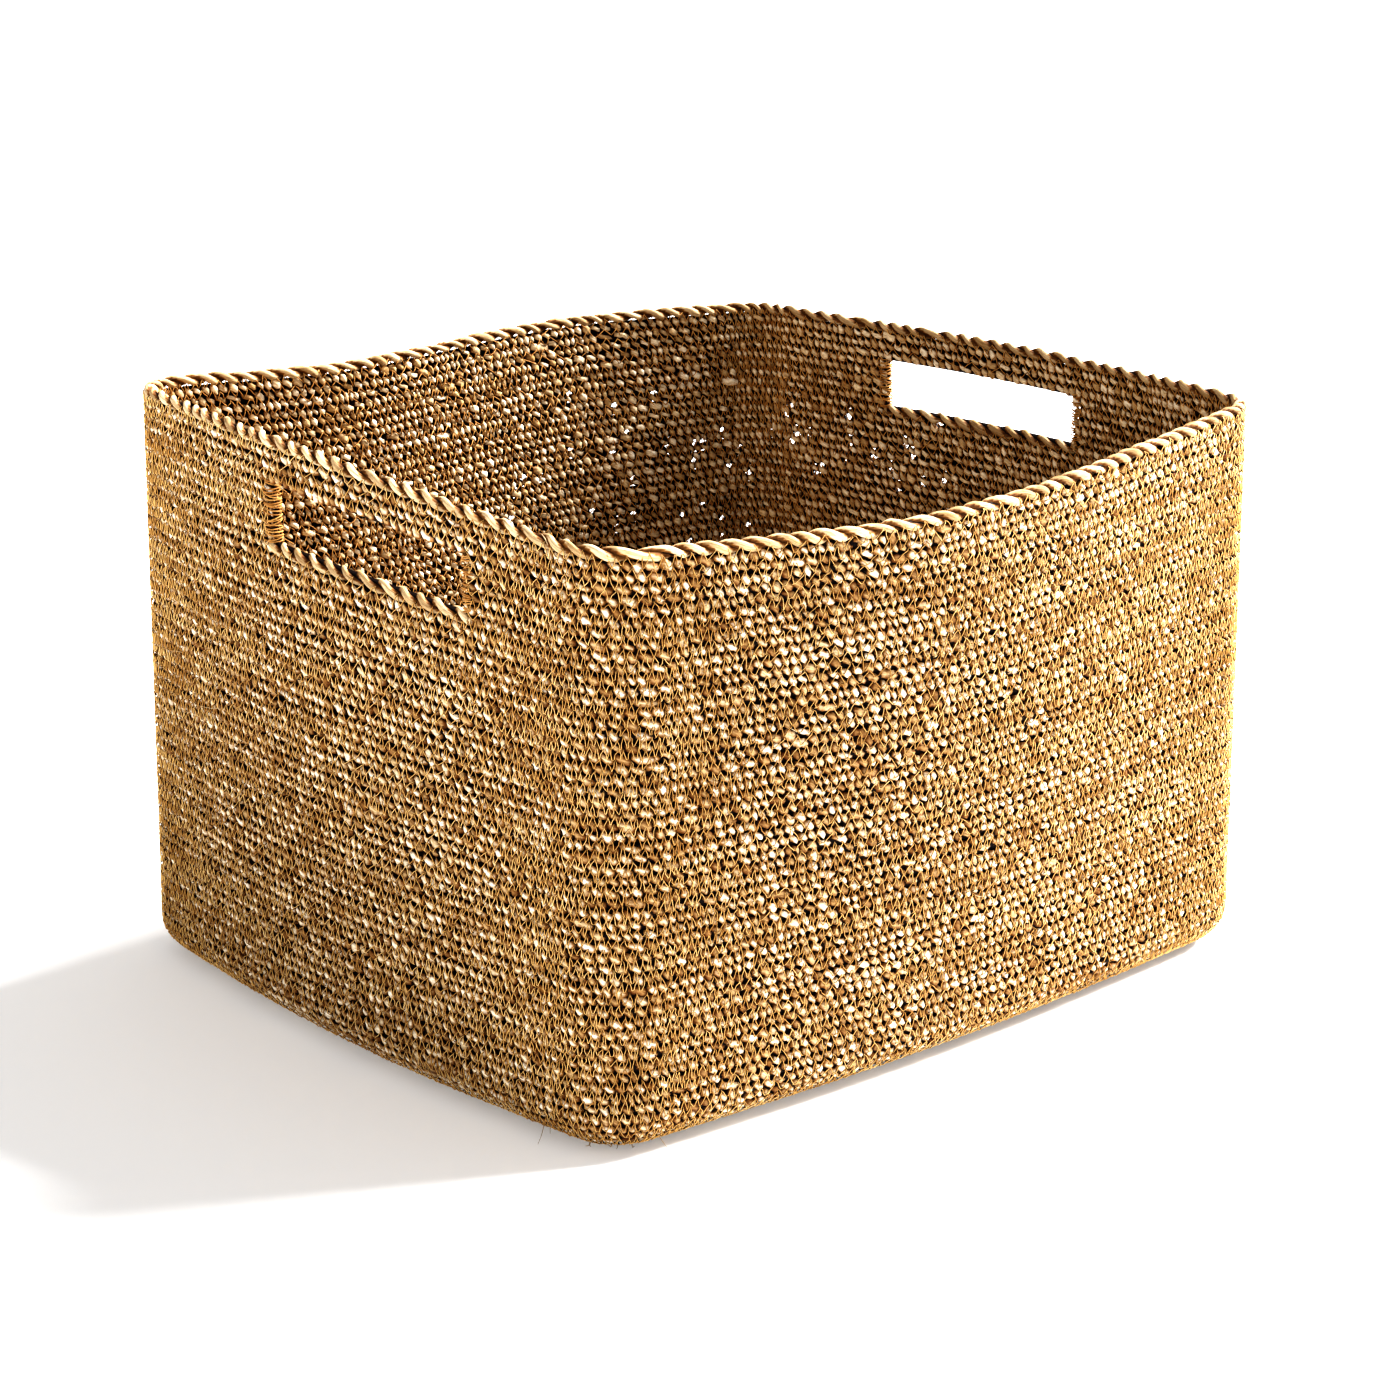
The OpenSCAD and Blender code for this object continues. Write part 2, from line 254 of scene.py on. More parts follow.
def profile(course):
    """(inset, z, tilt) of the middle of a course; courses count from the outermost base turn upwards.

    Courses below 0 are base turns; half values are the joints between courses.
    """
    if course < 0:
        return EDGE_R - (course + 0.5) * PITCH, WALL_T / 2 + BASE_LIFT, 0.0
    if course < EDGE_COURSES - 0.25:
        tilt = (course + 0.5) / EDGE_COURSES * math.pi / 2
        mid_r = EDGE_R - WALL_T / 2
        return EDGE_R - mid_r * math.sin(tilt), EDGE_R - (mid_r - BASE_LIFT) * math.cos(tilt), tilt
    return WALL_T / 2, EDGE_R + (course - EDGE_COURSES + 0.5) * PITCH, math.pi / 2


TOP_COURSE = EDGE_COURSES + WALL_COURSES - 1
SILL_COURSE = EDGE_COURSES + FIRST_SLOT_COURSE - 1
SLOT_RANGE = range(SILL_COURSE + 1, SILL_COURSE + 1 + SLOT_COURSES)


def course_random(course, what):
    """Random numbers of one course's own; what tells its uses apart."""
    return np.random.default_rng(1000 + 17 * (course + 60) + 7919 * what)


# ---------------------------------------------------------------- meshes

class Build:
    """Collects tubes and makes one mesh object of them."""

    def __init__(self):
        self.verts, self.tint, self.deep, self.fibre = [], [], [], []
        self.quads, self.quad_mat = [], []
        self.caps, self.cap_mat = [], []
        self.count = 0

    def tube(self, at, a_dir, b_dir, a_r, b_r, sides, tint, deep, fibre, mat=0, closed=True):
        """A tube along at, elliptical with half widths a_r and b_r along a_dir and b_dir.

        a_r, b_r, tint and the shade value have one value per ring or one per vertex. The shade value is
        painted shade: it darkens what lies in a gap, where shade would fall. fibre is (places along the
        grain, an offset of the tube's own).
        """
        n = len(at)
        angle = np.arange(sides) / sides * TAU

        def spread(values):
            values = np.asarray(values, float)
            return np.broadcast_to(values[:, None] if values.ndim == 1 else values, (n, sides))

        v = (at[:, None] + a_dir[:, None] * (np.cos(angle) * spread(a_r))[..., None]
             + b_dir[:, None] * (np.sin(angle) * spread(b_r))[..., None])
        self.verts.append(v.reshape(-1, 3))
        self.tint.append(spread(tint).reshape(-1))
        self.deep.append(spread(deep).reshape(-1))
        along, offset = fibre
        f = np.empty((n, sides, 3))
        f[..., 0] = np.asarray(along)[:, None] + offset
        f[..., 1] = np.cos(angle)[None] + offset * 3.7
        f[..., 2] = np.sin(angle)[None] - offset * 1.3
        self.fibre.append(f.reshape(-1, 3))
        i = np.arange(n if closed else n - 1)[:, None]
        j = (i + 1) % n
        k = np.arange(sides)[None]
        m = (k + 1) % sides
        quads = np.stack([i * sides + k, j * sides + k, j * sides + m, i * sides + m], -1).reshape(-1, 4)
        self.quads.append(quads + self.count)
        self.quad_mat.append(np.full(len(quads), mat))
        if not closed:
            self.caps.append(np.stack([k[0, ::-1], (n - 1) * sides + k[0]]) + self.count)
            self.cap_mat.append(mat)
        self.count += n * sides

    def piece(self, name, materials, replaces):
        """The mesh object of all tubes so far, riding on the basket in place of the nodes it replaces."""
        v = np.concatenate(self.verts) * MM
        loops = [np.concatenate(self.quads).reshape(-1)]
        sizes = [np.full(len(loops[0]) // 4, 4)]
        mats = [np.concatenate(self.quad_mat)]
        for cap, mat in zip(self.caps, self.cap_mat):
            loops.append(cap.reshape(-1))
            sizes.append(np.full(2, cap.shape[1]))
            mats.append(np.full(2, mat))
        loops, sizes, mats = (np.concatenate(x).astype(np.int32) for x in (loops, sizes, mats))
        mesh = bpy.data.meshes.new(name)
        mesh.vertices.add(len(v))
        mesh.vertices.foreach_set("co", v.astype(np.float32).ravel())
        mesh.loops.add(len(loops))
        mesh.loops.foreach_set("vertex_index", loops)
        mesh.polygons.add(len(sizes))
        mesh.polygons.foreach_set("loop_start", (np.cumsum(sizes) - sizes).astype(np.int32))
        mesh.polygons.foreach_set("material_index", mats)
        mesh.update(calc_edges=True)
        mesh.shade_smooth()
        for word, values in (("tint", self.tint), ("deep", self.deep)):
            layer = mesh.attributes.new(word, "FLOAT", "POINT")
            layer.data.foreach_set("value", np.concatenate(values).astype(np.float32))
        fibre = mesh.attributes.new("fibre", "FLOAT_VECTOR", "POINT")
        fibre.data.foreach_set("vector", np.concatenate(self.fibre).astype(np.float32).ravel())
        for material in materials:
            mesh.materials.append(material)
        obj = bpy.data.objects.new(name, mesh)
        bpy.context.collection.objects.link(obj)
        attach(obj, "root")
        if replaces:
            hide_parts(*replaces)
        return obj


def runs(keep):
    """Stretches of a closed line where keep is true, as index arrays."""
    if keep.all():
        return [np.arange(len(keep))]
    start = int(np.argmin(keep))
    order = (np.arange(len(keep)) + start) % len(keep)
    kept = keep[order]
    edges = np.flatnonzero(np.diff(np.concatenate([[0], kept.astype(int), [0]])))
    return [order[a:b] for a, b in zip(edges[::2], edges[1::2])]


def slot_mask(at, margin):
    """Which points lie over a hand slot, widened by margin."""
    x, y = at[:, 0] - MIDDLE[0], at[:, 1]
    hit = np.zeros(len(at), bool)
    for side, (front, back) in SLOT_Y.items():
        hit |= (x * side > HALF_X * NEAR_END) & (y > front - margin) & (y < back + margin)
    return hit


def beside_slots(line):
    """Which points of a line are clear of the slots."""
    return ~slot_mask(line.at, 0.0)


def along_slots(line):
    """Which points of a line are over a slot or just past its ends."""
    return slot_mask(line.at, 4.0)


# ---------------------------------------------------------------- stitches and ropes

def corner_share(place):
    """1 at the four corners of the basket and 0 along its sides."""
    width = 0.035
    apart = np.abs((np.asarray(place)[..., None] - CORNERS + 0.5) % 1 - 0.5).min(-1)
    return np.exp(-(apart / width) ** 2)


def stitch_places(joint, inside):
    """Places of the holes along the joint above a course; they alternate up and down.

    thick says how close together the holes are: closest at the corners, and wider apart near the rim.
    """
    samples = 400
    rng = course_random(joint, 11 + inside)
    inset = profile(joint + 0.5)[0]
    length = max(60.0, ROUND - TAU * inset)
    fine = np.linspace(0, 1, samples, endpoint=False)
    thick = 0.95 + 0.85 * corner_share(fine) + 0.35 * smooth_noise(rng, samples, length, 60)
    if joint > TOP_COURSE - 5:
        thick *= 0.8
    total = np.concatenate([[0], np.cumsum(thick)])
    count = 2 * max(8, int(round(length * thick.mean() / STITCH)))
    shift = rng.uniform(-0.40, 0.40, count) - 0.25 * (np.arange(count) % 2)
    even = np.sort(np.arange(count) + shift) / count + 0.001
    return np.interp(even % 1, total / total[-1], np.linspace(0, 1, samples + 1)) % 1


def make_pinholes():
    """Small see-through holes, (joint, place, size), thickest round the back right corner."""
    rng = np.random.default_rng(5)
    count, spread = 120, 0.075
    back_right = CORNERS[1]
    holes = []
    for _ in range(count):
        where = back_right + rng.normal(0, spread) + 0.01
        holes.append((int(rng.integers(EDGE_COURSES + 4, TOP_COURSE - 7)), where, rng.uniform(0.6, 1.1)))
    return holes


def pinhole_push(course, place, length):
    """How far a course is pushed up by pinholes beside it, and how near it is to one (0 to 1)."""
    push, near = np.zeros(len(place)), np.zeros(len(place))
    for joint, where, size in PINHOLES:
        if course not in (joint, joint + 1):
            continue
        apart = np.abs((place - where + 0.5) % 1 - 0.5) * length
        bump = np.exp(-(apart / (1.5 * size)) ** 2)
        push += (1 if course == joint + 1 else -1) * 0.9 * size * bump
        near = np.maximum(near, bump)
    return push, near


def squeezed(course, line):
    """How much the stitches above and below a course squeeze it along its line, from 0 to 1."""
    width = 0.8
    squeeze = np.zeros(line.count)
    for joint in (course - 1, course):
        holes = np.sort(stitch_places(joint, 0))
        i = np.searchsorted(holes, line.place) % len(holes)
        apart = np.minimum(np.abs(line.place - holes[i]), np.abs(line.place - holes[i - 1])) * line.length
        squeeze = np.maximum(squeeze, np.exp(-(apart / width) ** 2))
    return squeeze


def rope(build, course, lay=LAY, girth=1.0, pale=0.0, step=ROPE_STEP, sides=STRAND_SIDES, calm=0.0,
         keep_where=None, mat=0):
    """One course: two strands twisted round each other, a turn in every lay.

    Every half turn a strand shows outside or inside as one bead with its own tone and size. calm, from
    0 to 1, evens the beads out and leaves out the squeezing by stitches. Where calm is 0, the strands
    are crumpled and pressed flat as well. keep_where picks the points of the line that are built.
    """
    inset, z, tilt = profile(course)
    line = Line(inset, z, tilt, step)
    rng = course_random(course, 1)
    n, length = line.count, line.length
    keep = np.ones(n, bool) if keep_where is None else keep_where(line)
    sway_out = 0.35 * smooth_noise(rng, n, length, 22) + 0.40 * smooth_noise(rng, n, length, 6)
    sway_up = 0.25 * smooth_noise(rng, n, length, 18) + 0.20 * smooth_noise(rng, n, length, 6)
    push, near = pinhole_push(course, line.place, length)
    centre = line.at + line.out * sway_out[:, None] + line.up * (sway_up + push)[:, None]
    squeeze = squeezed(course, line) * (1 - calm)
    turns = max(1, round(length / lay))
    wander = 0.3 if calm else 1.0
    phase = (TAU * turns * line.place + wander * (3.0 * smooth_noise(rng, n, length, 26)
                                                  + 1.1 * smooth_noise(rng, n, length, 11)))
    angle = np.arange(sides) / sides * TAU
    apart_out, apart_up, thick_out, thick_up = CALM_STRANDS if calm else SEWN_STRANDS
    for strand in (0, 1):
        s_rng = course_random(course, 2 + strand)
        turn = phase + strand * math.pi
        bead = np.floor((turn + math.pi / 2) / math.pi).astype(int) % (2 * turns)
        tone = s_rng.beta(1.2, 1.05, 2 * turns)[bead]
        size = s_rng.uniform(-1, 1, 2 * turns)[bead]
        fat = girth * (1 + (0.17 * size + 0.12 * smooth_noise(s_rng, n, length, 9)) * (1 - calm / 2))
        face = np.cos(turn)
        at = (centre + line.out * (apart_out * girth * face)[:, None]
              - line.up * (apart_up * girth * np.sin(turn))[:, None])
        r_out = thick_out * fat * (1 - 0.22 * squeeze) * (1 - 0.25 * near)
        swell = np.where(face < 0, 0.28 + 0.22 * size, 0.22) * np.abs(face) * (1 - calm)
        r_up = thick_up * fat * (1 - 0.35 * near) * (1 + swell)
        drift = 0.10 * smooth_noise(s_rng, n, length, 60)
        tint = np.clip(0.52 + (tone - 0.48) * (1 - calm / 2) + drift + pale, 0, 1)
        # Painted shade: the inner faces of the beads are darker and browner, standing in for the shade inside
        # the basket
        tint = np.where(face < 0, 0.17 + 0.58 * tint, tint)
        # Painted shade: on calm ropes the side of each strand that faces the other strand is darkened; on
        # sewn ropes every side that does not face out of the wall, into the grooves between strands and
        # courses
        if calm:
            away = np.cos(angle)[None] * face[:, None] - np.sin(angle)[None] * np.sin(turn)[:, None]
            deep = (1 - away.clip(0, 1) ** 0.45) * 0.66
        else:
            shown = (np.cos(angle)[None] * np.sign(face)[:, None]).clip(0, 1) * np.abs(face)[:, None] ** 0.7
            deep = (1 - shown ** 0.4 * (1 - 0.3 * squeeze[:, None])) * np.where(face < 0, 0.8, 1.0)[:, None]
            crumple = s_rng.uniform(-1, 1, (n, sides))
            crumple = 1 + 0.17 * (crumple + np.roll(crumple, 1, 0))
            r_up = r_up[:, None] * crumple
            bulge = apart_out * girth * face[:, None]
            reach = bulge + np.cos(angle) * r_out[:, None] * crumple
            reach /= (1 + (reach / PRESSED) ** 6) ** (1 / 6)
            r_out = (reach - bulge) / np.cos(angle)
        for run in runs(keep):
            build.tube(at[run], line.out[run], line.up[run], r_out[run], r_up[run], sides,
                       tint[run], deep[run], (line.place[run] * length * GRAIN, s_rng.uniform(0, 50)),
                       mat=mat, closed=len(run) == n)


def heart(build, course, keep_where=None, width=1.2, height=3.0):
    """Near-black filling between the strands of a course, which keeps light from passing; its dark colour is
    painted shade in the gaps between strands.
    """
    inset, z, tilt = profile(course)
    line = Line(inset, z, tilt, FINE_HEART_STEP if course in PINHOLE_COURSES else HEART_STEP)
    push, near = pinhole_push(course, line.place, line.length)
    keep = np.ones(line.count, bool) if keep_where is None else keep_where(line)
    thin = 1 - 0.85 * near
    at = line.at + line.up * push[:, None]
    for run in runs(keep):
        build.tube(at[run], line.out[run], line.up[run], (width * thin)[run],
                   (height * thin)[run], 4,
                   np.zeros(len(run)), np.ones(len(run)),
                   (line.place[run] * line.length * GRAIN, course), mat=1,
                   closed=len(run) == line.count)


PINHOLES = make_pinholes()
PINHOLE_COURSES = {joint + k for joint, _, _ in PINHOLES for k in (0, 1)}


def zigzag(build, joint, inside):
    """One row of zigzag stitches over the joint above a course, outside or inside the wall.

    surface is how far out the thread lies, reach how far up and down it goes, in courses. shape is
    (share of the way to the next hole, how far out past surface).
    """
    line = Line(*profile(joint + 0.5), LINE_STEP)
    place = stitch_places(joint, inside)
    count = len(place)
    rng = course_random(joint, 21 + inside)
    way = np.where(np.arange(count) % 2 == 0, 1, -1)
    step = (np.roll(place, -1) - place + 0.5) % 1 - 0.5
    if inside:
        side, surface, reach, radius = -1, WALL_T / 2 + 0.15, 0.44, 0.40
        shape = ((0.0, -1.0), (0.35, -0.4), (0.65, -0.4))
    else:
        side, surface, reach, radius = 1, WALL_T / 2 + 0.50, 0.55, 0.32
        shape = ((0.0, -1.5), (0.18, 0.0), (0.5, -0.15), (0.82, 0.0))
    reach = PITCH * reach * (1 + 0.4 * rng.uniform(-1, 1, count))
    knots, lifts, ups = [], [], []
    for t, lift in shape:
        knots.append(place + step * t)
        ups.append(way * (reach * (1 - t) - np.roll(reach, -1) * t))
        lifts.append(side * (surface + lift + 0.15 * rng.uniform(-1, 1, count)))
    knots, ups, lifts = (np.stack(x, 1).reshape(-1) for x in (knots, ups, lifts))
    p, out, up, along = line.sample(knots)
    at = p + out * lifts[:, None] + up * ups[:, None] + along * rng.uniform(-0.45, 0.45, len(p))[:, None]
    keep = np.ones(len(at), bool)
    if SILL_COURSE <= joint <= SILL_COURSE + SLOT_COURSES:
        keep = ~slot_mask(at, 1.5)
    direction = np.roll(at, -1, 0) - np.roll(at, 1, 0)
    direction /= np.linalg.norm(direction, axis=1)[:, None] + 1e-9
    face = out * side
    across = np.cross(direction, face)
    across /= np.linalg.norm(across, axis=1)[:, None] + 1e-9
    tone = 0.5 + 0.3 * smooth_noise(rng, count, line.length, 30) + rng.uniform(-0.2, 0.2, count)
    tone = np.repeat(np.clip(tone, 0, 1), len(shape))
    # Painted shade: the two side faces of each thread are darkened to dark outlines, the outer ridge left
    # bright
    deep = np.tile((0.0, 0.9, 0.9), (len(at), 1))
    for run in runs(keep):
        if len(run) < 6:
            continue
        build.tube(at[run], face[run], across[run], np.full(len(run), radius), np.full(len(run), radius),
                   3, tone[run], deep[run], (np.arange(len(run)) * THREAD_GRAIN, joint),
                   closed=len(run) == len(at))


def overcast(build, side, edge_y, way):
    """Loops of thread round the cut wall at one end of a slot; way points into the slot along Y."""
    rng = np.random.default_rng(int(abs(edge_y) * 10) + 3 * side + 50)
    # One loop round the cut edge, as (into the slot, outwards)
    path = ((-4.5, 2.6), (-2.6, 3.5), (-0.2, 3.3), (0.7, 1.8), (0.9, 0), (0.7, -1.8), (-0.2, -3.3),
            (-2.6, -3.5), (-4.5, -2.6))
    count = 22
    for k in range(count):
        z = SLOT_LO - 1 + (k + rng.uniform(0.1, 0.9)) / count * (SLOT_HI - SLOT_LO + 2)
        course = EDGE_COURSES + (z - EDGE_R) / PITCH - 0.5
        line = Line(*profile(course), LINE_STEP)
        wall = np.flatnonzero((line.at[:, 0] - MIDDLE[0]) * side > HALF_X * NEAR_END)
        near = wall[np.argmin(np.abs(line.at[wall, 1] - edge_y))]
        p, out, up = line.at[near], line.out[near], line.up[near]
        p = p + (edge_y - p[1]) * np.array((0, 1.0, 0))
        slant = rng.uniform(-2.4, 2.4)
        at = np.array([p + np.array((0, way * a, 0)) + out * o + up * slant * (i / 4 - 1)
                       for i, (a, o) in enumerate(path)])
        at[:, 1] += way * rng.uniform(-0.6, 0.2)
        at[[0, -1]] += np.array((0, way * rng.uniform(-2.5, 1.0), 0))
        direction = np.gradient(at, axis=0)
        direction /= np.linalg.norm(direction, axis=1)[:, None]
        across = np.cross(direction, up[None])
        across /= np.linalg.norm(across, axis=1)[:, None]
        tone = np.full(len(at), rng.uniform(0.0, 0.5))
        build.tube(at, across, np.cross(direction, across), np.full(len(at), 0.36), np.full(len(at), 0.36),
                   5, tone, np.full(len(at), 0.42), (np.arange(len(at)) * THREAD_GRAIN, k), closed=False)


def stray(build, rng, course, place, length, lean):
    """One loose grass fibre standing off the outside; lean is its way along, out and up."""
    p, out, up, along = (a[0] for a in Line(*profile(course), LINE_STEP).sample(np.array([place])))
    way = along * lean[0] + out * lean[1] + up * lean[2]
    way /= np.linalg.norm(way)
    bend = rng.normal(0, 0.25, 3)
    points = 7
    t = np.linspace(0, 1, points)[:, None]
    at = p + out * (WALL_T / 2 - 0.6) + way * length * t + bend * length * t ** 2
    at[:, 2] = np.maximum(at[:, 2], 0.4)
    direction = np.gradient(at, axis=0)
    direction /= np.linalg.norm(direction, axis=1)[:, None]
    across = np.cross(direction, up + 0.3 * out)
    across /= np.linalg.norm(across, axis=1)[:, None]
    thin = np.linspace(0.26, 0.10, points)
    tint = np.full(points, rng.uniform(0.3, 0.9))
    build.tube(at, across, np.cross(direction, across), thin, thin, 4, tint, np.zeros(points),
               (np.arange(points) * 1.0, place), closed=False)


# ---------------------------------------------------------------- materials

def new_material(name):
    material = bpy.data.materials.new(name)
    material.use_nodes = True
    tree = material.node_tree
    return material, tree.nodes, tree.links, tree.nodes["Principled BSDF"]


def ramp(nodes, stops):
    node = nodes.new("ShaderNodeValToRGB")
    elements = node.color_ramp.elements
    while len(elements) < len(stops):
        elements.new(0.5)
    for element, (at, colour) in zip(elements, stops):
        element.position = at
        element.color = (*colour, 1)
    return node


def attribute(nodes, name):
    node = nodes.new("ShaderNodeAttribute")
    node.attribute_name = name
    return node


def noise(nodes, links, vector, scale, detail):
    node = nodes.new("ShaderNodeTexNoise")
    node.inputs["Scale"].default_value = scale
    node.inputs["Detail"].default_value = detail
    links.new(vector, node.inputs["Vector"])
    return node


def mix_colour(nodes, links, blend, factor, a, b):
    node = nodes.new("ShaderNodeMix")
    node.data_type = "RGBA"
    node.blend_type = blend
    for socket, value in ((node.inputs["Factor"], factor), (node.inputs["A"], a), (node.inputs["B"], b)):
        if isinstance(value, bpy.types.NodeSocket):
            links.new(value, socket)
        else:
            socket.default_value = value if not isinstance(value, tuple) else (*value, 1)
    return node.outputs["Result"]


def paint_gap_shade(nodes, links, base):
    """Painted shade: darkens, down to near black, what the shade attribute marks as lying in a gap."""
    gap_shade_tone = ramp(nodes, ((0.30, (1, 1, 1)), (0.54, (0.42, 0.23, 0.085)), (0.78, (0.02, 0.006, 0.001))))
    links.new(attribute(nodes, "deep").outputs["Fac"], gap_shade_tone.inputs["Fac"])
    return mix_colour(nodes, links, "MULTIPLY", 1.0, base, gap_shade_tone.outputs["Color"])


def seagrass(name, stops, stretch=None):
    """Dried grass twisted into rope: a tint for each bead, fine streaks along it, blotches, and painted shade
    in the gaps.

    stretch scales the streaks along and across the rope.
    """
    material, nodes, links, shader = new_material(name)
    tint = attribute(nodes, "tint").outputs["Fac"]
    fibre = attribute(nodes, "fibre").outputs["Vector"]
    if stretch:
        mapping = nodes.new("ShaderNodeMapping")
        mapping.inputs["Scale"].default_value = stretch
        links.new(fibre, mapping.inputs["Vector"])
        fibre = mapping.outputs["Vector"]
    colour = ramp(nodes, stops)
    links.new(tint, colour.inputs["Fac"])
    streak = noise(nodes, links, fibre, 2.4, 4)
    streak_tone = ramp(nodes, ((0.32, (0.50, 0.38, 0.25)), (0.58, (1.0, 1.0, 1.0))))
    links.new(streak.outputs["Fac"], streak_tone.inputs["Fac"])
    blotch = noise(nodes, links, fibre, 0.55, 2)
    blotch_tone = ramp(nodes, ((0.30, (0.80, 0.70, 0.48)), (0.55, (1.0, 1.0, 1.0))))
    links.new(blotch.outputs["Fac"], blotch_tone.inputs["Fac"])
    base = mix_colour(nodes, links, "MULTIPLY", 0.85, colour.outputs["Color"], streak_tone.outputs["Color"])
    base = mix_colour(nodes, links, "MULTIPLY", 0.7, base, blotch_tone.outputs["Color"])
    base = paint_gap_shade(nodes, links, base)
    links.new(base, shader.inputs["Base Color"])
    rough = nodes.new("ShaderNodeMapRange")
    rough.inputs["To Min"].default_value = 0.5
    rough.inputs["To Max"].default_value = 0.85
    links.new(streak.outputs["Fac"], rough.inputs["Value"])
    links.new(rough.outputs["Result"], shader.inputs["Roughness"])
    shader.inputs["Specular IOR Level"].default_value = 0.12
    height = nodes.new("ShaderNodeBump")
    height.inputs["Strength"].default_value = 0.5
    height.inputs["Distance"].default_value = 0.0006
    links.new(streak.outputs["Fac"], height.inputs["Height"])
    links.new(height.outputs["Normal"], shader.inputs["Normal"])
    return material


def thread_material(name, stops):
    """Twisted golden sewing thread, with painted shade where the shade attribute marks it."""
    material, nodes, links, shader = new_material(name)
    tint = attribute(nodes, "tint").outputs["Fac"]
    fibre = attribute(nodes, "fibre").outputs["Vector"]
    colour = ramp(nodes, stops)
    links.new(tint, colour.inputs["Fac"])
    ply = noise(nodes, links, fibre, 3.0, 2)
    tone = ramp(nodes, ((0.3, (0.75, 0.7, 0.62)), (0.65, (1.1, 1.08, 1.0))))
    links.new(ply.outputs["Fac"], tone.inputs["Fac"])
    base = mix_colour(nodes, links, "MULTIPLY", 0.8, colour.outputs["Color"], tone.outputs["Color"])
    base = paint_gap_shade(nodes, links, base)
    links.new(base, shader.inputs["Base Color"])
    shader.inputs["Roughness"].default_value = 0.6
    shader.inputs["Specular IOR Level"].default_value = 0.15
    height = nodes.new("ShaderNodeBump")
    height.inputs["Strength"].default_value = 0.4
    height.inputs["Distance"].default_value = 0.0002
    links.new(ply.outputs["Fac"], height.inputs["Height"])
    links.new(height.outputs["Normal"], shader.inputs["Normal"])
    return material


GRASS = seagrass("seagrass_rope", ((0.0, (0.24, 0.12, 0.035)), (0.25, (0.46, 0.32, 0.16)),
                                   (0.55, (0.74, 0.64, 0.47)), (1.0, (0.94, 0.90, 0.80))))
RIM_GRASS = seagrass("seagrass_rim", ((0.0, (0.20, 0.12, 0.05)), (0.35, (0.36, 0.25, 0.13)),
                                      (0.65, (0.54, 0.42, 0.26)), (1.0, (0.74, 0.62, 0.43))),
                     stretch=(0.4, 2.2, 2.2))
# Painted shade: the near-black colour of the filling between strands and at the core's ends
HEART_SHADE = seagrass("rope_heart_shade", ((0.0, (0.22, 0.08, 0.012)), (1.0, (0.35, 0.15, 0.03))))
NEEDLE = thread_material("needle_thread", ((0.0, (0.44, 0.23, 0.06)), (0.5, (0.66, 0.43, 0.16)),
                                           (1.0, (0.88, 0.66, 0.32))))
BOBBIN = thread_material("bobbin_thread", ((0.0, (0.45, 0.21, 0.05)), (1.0, (0.74, 0.45, 0.16))))


# ---------------------------------------------------------------- pieces

def rope_piece(name, courses, slot="wall_rope", replaces=None, **options):
    """Some courses as one piece. Where they meet the slots they are cut, and the lip below is calm."""
    build = Build()
    for course in courses:
        slotted = course in SLOT_RANGE
        lip = course == SILL_COURSE
        rope(build, course, keep_where=beside_slots if slotted or lip else None, **options)
        heart(build, course, beside_slots if slotted else None)
        if lip:
            rope(build, course, lay=26, girth=1.25, keep_where=along_slots, mat=2, **CALM_ROPE)
    return build.piece(name, (GRASS, HEART_SHADE, RIM_GRASS), replaces or [name])


def thread_piece(name, joints, inside, replaces=None):
    build = Build()
    for joint in joints:
        zigzag(build, joint, inside)
    material = BOBBIN if inside else NEEDLE
    return build.piece(name, (material,), [name] if replaces is None else replaces)


def core_piece():
    """The two straight ropes that the base is wound round."""
    low, high = box_mm("base_core")
    build = Build()
    rng = np.random.default_rng(3)
    middle = (low + high) / 2
    half = (high[0] - low[0]) / 2 - 1.5
    n = int(2 * half / 1.2)
    x = np.linspace(-half, half, n)
    y_dir, z_dir = np.tile((0, 1.0, 0), (n, 1)), np.tile((0, 0, 1.0), (n, 1))
    for row in (-1, 1):
        centre = np.column_stack([middle[0] + x, np.full(n, middle[1] + row * (high[1] - low[1]) / 4),
                                  np.full(n, WALL_T / 2 + BASE_LIFT)])
        phase = TAU * x / LAY + rng.uniform(0, TAU) + 1.2 * np.sin(x / 7 + row)
        for strand in (0, 1):
            turn = phase + strand * math.pi
            face = np.cos(turn)
            at = centre - z_dir * (1.5 * face)[:, None] + y_dir * (1.1 * np.sin(turn))[:, None]
            bead = np.floor((turn + math.pi / 2) / math.pi).astype(int)
            tone = rng.beta(0.9, 1.0, bead.max() - bead.min() + 1)[bead - bead.min()]
            angle = np.arange(STRAND_SIDES) / STRAND_SIDES * TAU
            # Painted shade: strand sides that face neither up nor down out of the core, into the grooves
            # between strands, are darkened
            shown = (-np.sin(angle)[None] * np.sign(face)[:, None]).clip(0, 1) * np.abs(face)[:, None] ** 0.7
            build.tube(at, y_dir, z_dir, np.full(n, 2.0), np.full(n, 1.5), STRAND_SIDES, tone,
                       1 - shown ** 0.4, (x * 0.16, row + 3.0 * strand), closed=False)
        build.tube(centre[::n - 1], y_dir[:2], z_dir[:2], np.full(2, 2.3), np.full(2, 1.2), 4, np.zeros(2),
                   np.ones(2), (np.zeros(2), row), mat=1, closed=False)
    build.piece("base_core", (GRASS, HEART_SHADE), ["base_core"])


def base_pieces():
    core_piece()
    groups = {"base_turns_border": (1, 8), "base_turns_outer": (9, 16),
              "base_turns_middle": (17, 24), "base_turns_inner": (25, BASE_TURNS)}
    for name, (first, last) in groups.items():
        rope_piece(name, range(-last, -first + 1), slot="base_rope", step=2.0)
    rope_piece("base_edge_courses", range(EDGE_COURSES), step=1.15)


